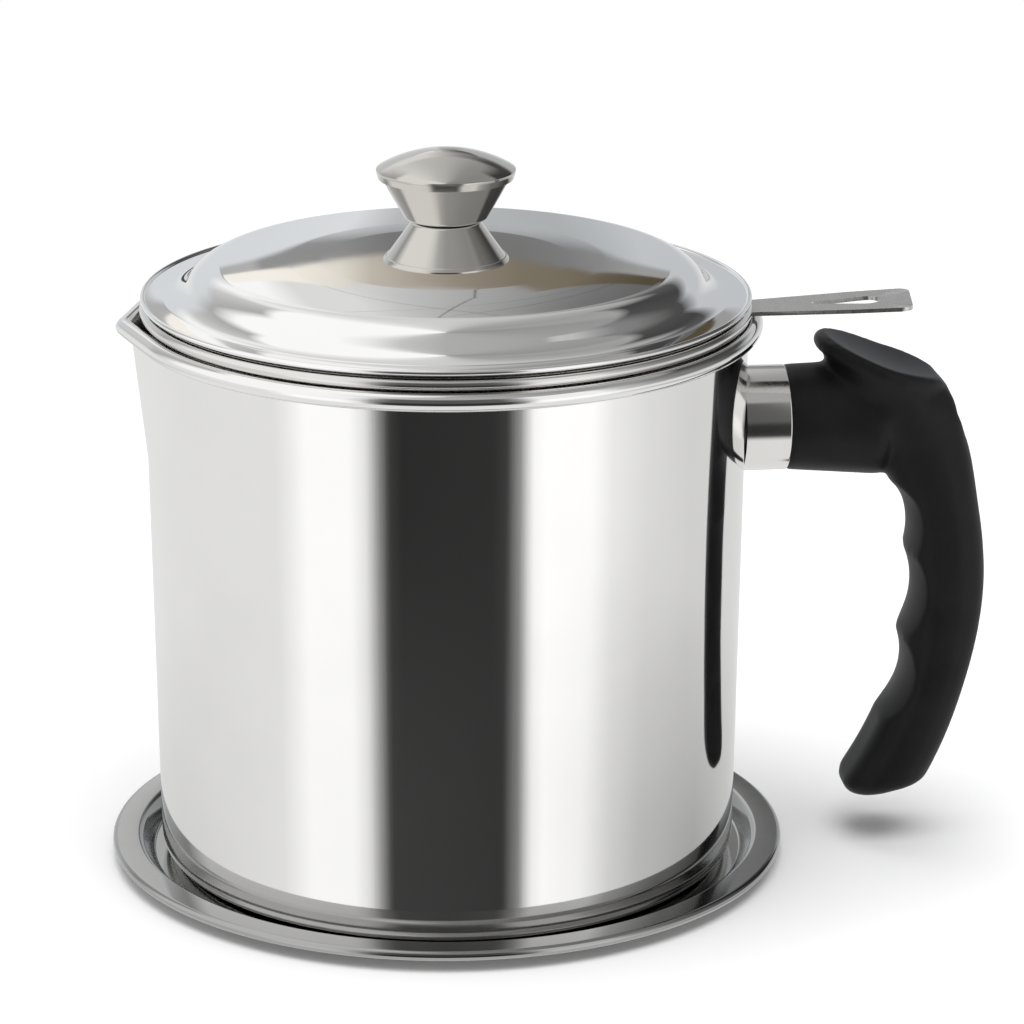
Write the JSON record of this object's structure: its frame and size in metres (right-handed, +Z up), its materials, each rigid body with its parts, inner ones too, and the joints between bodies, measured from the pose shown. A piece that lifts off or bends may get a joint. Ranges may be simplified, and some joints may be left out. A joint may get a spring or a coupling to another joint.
{
  "type": "bacon grease container",
  "caption": "Stainless steel grease pot with pour spout and black C-shaped side handle, on a drip tray, with a hanging mesh strainer and a domed lid with a knob.",
  "frame": {"origin": "middle of the drip tray's underside, on the surface it stands on", "axes": "+X towards the handle, -X towards the pour spout, +Z up; the strainer's tab lies 7 degrees to the -Y side of the handle"},
  "size_m": [0.1963, 0.1508, 0.1605],
  "materials": {
    "polished_steel": "mirror polished stainless steel",
    "satin_steel": "fine turned or rolled stainless steel",
    "plain_steel": "plain zinc-free steel hardware",
    "woven_mesh": "fine woven stainless wire",
    "black_plastic": "matte moulded, fine grain",
    "black_rubber": "matte"
  },
  "bodies": {
    "tray": {"drip_tray": "polished_steel"},
    "pot": {"pot_body": "polished_steel", "handle_bracket": "plain_steel", "handle_ferrule": "polished_steel", "handle_grip": "black_plastic", "handle_screw": "plain_steel", "handle_washer": "plain_steel"},
    "strainer": {"strainer_frame": "polished_steel", "strainer_mesh": "woven_mesh", "mesh_ring": "satin_steel", "strainer_tab": "satin_steel"},
    "lid": {"lid_shell": "polished_steel", "locating_ring": "polished_steel", "knob_skirt": "satin_steel", "knob_gasket": "black_rubber", "knob_cup": "satin_steel", "knob_cap": "satin_steel", "knob_bush": "plain_steel", "knob_washer": "plain_steel", "knob_screw": "plain_steel"}
  },
  "joints": [
    {"name": "pot_lift", "type": "slide", "parent": "tray", "child": "pot", "axis": [0, 0, 1], "range_m": [0, 0.06]},
    {"name": "strainer_lift", "type": "slide", "parent": "pot", "child": "strainer", "axis": [0, 0, 1], "range_m": [0, 0.06]},
    {"name": "lid_lift", "type": "slide", "parent": "strainer", "child": "lid", "axis": [0, 0, 1], "range_m": [0, 0.06]}
  ]
}
